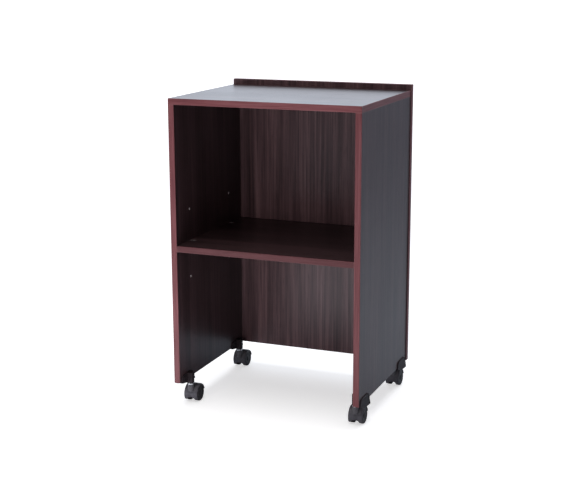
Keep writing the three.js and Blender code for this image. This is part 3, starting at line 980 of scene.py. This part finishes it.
def build_casters():
    hood, wheel, stem, axle = hood_mesh(), wheel_mesh(), stem_mesh(), axle_mesh()
    for side in SIDES:
        for end in ENDS:
            label = f"{end}_{side}"
            swivel = swivel_at[(end, side)]
            at_stem = Matrix.Translation((swivel[0], swivel[1], 0))
            at_axle = Matrix.Translation(axle_at[(end, side)])
            body = f"caster_{label}"
            piece = placed(copy_of(hood, f"hood_{label}"), at_stem)
            settle(piece, body, HOOD_PLASTIC, "caster_plastic", f"caster_hood_{label}")
            piece = placed(copy_of(stem, f"stem_{label}"), at_stem)
            # the stem's zinc is lightened as a painted highlight
            settle(piece, ROOT, PAINTED_HIGHLIGHT_ZINC, "zinc", f"caster_stem_{label}")
            piece = placed(copy_of(axle, f"axle_{label}"), at_axle @ ONTO_X)
            settle(piece, body, ZINC, "zinc", f"caster_axle_{label}")
            for way_name, way in SIDES.items():
                piece = placed(copy_of(wheel, f"tread_{label}_{way_name}"), at_axle @ quarter_turn(way))
                node = f"wheel_{label}_{way_name}"
                settle(piece, node, WHEEL_PLASTIC, "wheel_plastic", node)
    for template in (hood, wheel, stem, axle):
        bpy.data.objects.remove(template, do_unlink=True)


# ---- stage ------------------------------------------------------------------------------------------------
CAMERA_AT = (1.392, -3.500, 1.3535)
CAMERA_YAW = math.radians(21.88)
CAMERA_PITCH = math.radians(13.075)
CAMERA_ROLL = math.radians(-0.13)
# in millimetres
CAMERA_LENS = 75.9
# the floor's tones in reflections and bounced light, behind the object, far behind it, in front and far in
# front, and the light it adds there in front
FLOOR_BEHIND = (0.60, 0.66, 0.73)
FLOOR_BEHIND_FAR = (0.64, 0.67, 0.76)
FLOOR_NEAR = (0.90, 0.92, 0.96)
FLOOR_FAR = (0.80, 0.86, 0.92)
FLOOR_GLOW = (2.4, 2.5, 2.7)
# the light the floor adds where the camera sees it, beside the object and far from it
FLOOR_SEEN_GLOW = (0.56, 0.555, 0.555)
FLOOR_SEEN_GLOW_FAR = (1.0, 1.0, 1.0)
# the room's tones in reflections and bounced light, toward -Y and toward +Y
WORLD_FRONT = (0.17, 0.17, 0.18)
WORLD_BACK = (1.54, 1.68, 1.90)
# the two lights' power in watts
KEY = 81
OVERHEAD = 112


def build_camera():
    pitch_across = math.cos(CAMERA_PITCH)
    back = Vector((
        math.sin(CAMERA_YAW) * pitch_across,
        -math.cos(CAMERA_YAW) * pitch_across,
        math.sin(CAMERA_PITCH),
    ))
    right = Vector((math.cos(CAMERA_YAW), math.sin(CAMERA_YAW), 0))
    up = back.cross(right)
    right_rolled = right * math.cos(CAMERA_ROLL) + up * math.sin(CAMERA_ROLL)
    up_rolled = up * math.cos(CAMERA_ROLL) - right * math.sin(CAMERA_ROLL)
    data = bpy.data.cameras.new("camera")
    data.sensor_width = 36
    data.lens = CAMERA_LENS
    data.clip_start = 0.05
    data.clip_end = 60
    camera = add_object("camera", data)
    turn = Matrix((right_rolled, up_rolled, back)).transposed().to_4x4()
    camera.matrix_world = Matrix.Translation(CAMERA_AT) @ turn
    bpy.context.scene.camera = camera


def build_floor():
    """A plain floor. To the camera it is white, with a soft shadow under the object. In reflections and
    bounced light it glows in front of the object, from the middle leftward, and is greyer elsewhere."""
    nodes = Nodes("floor")
    parts = nodes.node("ShaderNodeSeparateXYZ")
    nodes.link(nodes.coords, parts.inputs["Vector"])
    # 0 at 4 m in front of the object's centre and 1 at 1 m behind it
    depth = nodes.spread(parts.outputs["Y"], 0, 1, -4, 1)
    tones = [(0.30, FLOOR_FAR), (0.50, FLOOR_NEAR), (0.70, FLOOR_NEAR), (0.82, FLOOR_BEHIND)]
    bounce = nodes.ramp(depth, tones)
    bounce = nodes.mixed(bounce, FLOOR_BEHIND_FAR, nodes.spread(parts.outputs["Y"], 0, 1, 2, 7))
    glow = nodes.ramp(depth, [(0.42, (0, 0, 0)), (0.54, FLOOR_GLOW), (0.71, FLOOR_GLOW), (0.76, (0, 0, 0))])
    glow = nodes.mixed((0, 0, 0), glow, nodes.spread(parts.outputs["X"], 1, 0, -0.10, 0.30))
    speckle = nodes.noise(nodes.coords, 300, 3)
    seen = nodes.ramp(speckle, [(0.3, (0.91, 0.91, 0.91)), (0.7, (0.93, 0.93, 0.93))])
    path = nodes.node("ShaderNodeLightPath")
    colour = nodes.mixed(bounce, seen, path.outputs["Is Camera Ray"])
    roughness = nodes.spread(speckle, 0.9, 1.0)
    material = nodes.finish(colour, roughness, Specular_IOR_Level=0.0, Emission_Strength=1.0)
    distance = nodes.node("ShaderNodeVectorMath", operation="LENGTH")
    nodes.link(nodes.coords, distance.inputs[0])
    far_off = nodes.spread(distance.outputs["Value"], 0, 1, 2, 8)
    seen_glow = nodes.mixed(FLOOR_SEEN_GLOW, FLOOR_SEEN_GLOW_FAR, far_off)
    emission = nodes.mixed(glow, seen_glow, path.outputs["Is Camera Ray"])
    nodes.link(emission, nodes.shader.inputs["Emission Color"])
    bm = bmesh.new()
    bmesh.ops.create_grid(bm, x_segments=2, y_segments=2, size=60)
    floor = from_bmesh("floor", bm)
    floor.data.materials.append(material)


def add_area(name, location, target, width, height, power, mirrored=True):
    """A rectangular light. When it isn't mirrored, it lights surfaces without showing as a reflection."""
    data = bpy.data.lights.new(name, "AREA")
    data.shape = "RECTANGLE"
    data.size = width
    data.size_y = height
    data.energy = power
    light = add_object(name, data)
    light.location = location
    direction = Vector(target) - Vector(location)
    light.rotation_mode = "QUATERNION"
    light.rotation_quaternion = direction.to_track_quat("-Z", "Y")
    light.visible_camera = False
    light.visible_glossy = mirrored


def build_light():
    """A room that is white to the camera. In reflections and bounced light it is dim toward -Y, and brighter
    and cooler toward +Y. A low key light stands in front and a wide light overhead."""
    world = bpy.data.worlds.new("studio")
    world.use_nodes = True
    tree = world.node_tree
    shade = tree.nodes["Background"]
    coords = tree.nodes.new("ShaderNodeTexCoord")
    parts = tree.nodes.new("ShaderNodeSeparateXYZ")
    ramp = tree.nodes.new("ShaderNodeValToRGB")
    span = tree.nodes.new("ShaderNodeMapRange")
    path = tree.nodes.new("ShaderNodeLightPath")
    mix = tree.nodes.new("ShaderNodeMix")
    mix.data_type = "RGBA"
    span.inputs["From Min"].default_value = -1
    span.inputs["From Max"].default_value = 1
    # the room is dim all round except toward +Y
    dim, bright = ramp.color_ramp.elements
    dim.color = (*WORLD_FRONT, 1)
    dim.position = 0.68
    bright.color = (*WORLD_BACK, 1)
    bright.position = 0.95
    mix.inputs[7].default_value = (1, 1, 1, 1)
    tree.links.new(coords.outputs["Generated"], parts.inputs["Vector"])
    tree.links.new(parts.outputs["Y"], span.inputs["Value"])
    tree.links.new(span.outputs["Result"], ramp.inputs["Fac"])
    tree.links.new(ramp.outputs["Color"], mix.inputs[6])
    tree.links.new(path.outputs["Is Camera Ray"], mix.inputs[0])
    tree.links.new(mix.outputs[2], shade.inputs["Color"])
    scene = bpy.context.scene
    scene.world = world
    scene.view_settings.view_transform = "Standard"
    add_area("key", (-0.2, -5.0, 0.9), (0, 0, 0.6), 1.8, 1.6, KEY, mirrored=False)
    add_area("overhead", (0, -0.6, 4.2), (0, 0, 0), 3.6, 3.6, OVERHEAD)


build_camera()
for side_name, side_sign in SIDES.items():
    build_side_panel(side_name, side_sign)
build_flat_panel("panel_top", "top_panel", LAMINATE["x"])
# the back panel's laminate is lightened as painted light on the inside of the cabinet
build_flat_panel("panel_back", "back_panel", BACK_LAMINATE_PAINTED_LIGHT, [("-y", "-z"), ("+y", "-z")])
build_shelf()
build_bands()
build_shelf_fittings()
build_dowels()
build_brackets()
build_casters()
build_floor()
build_light()
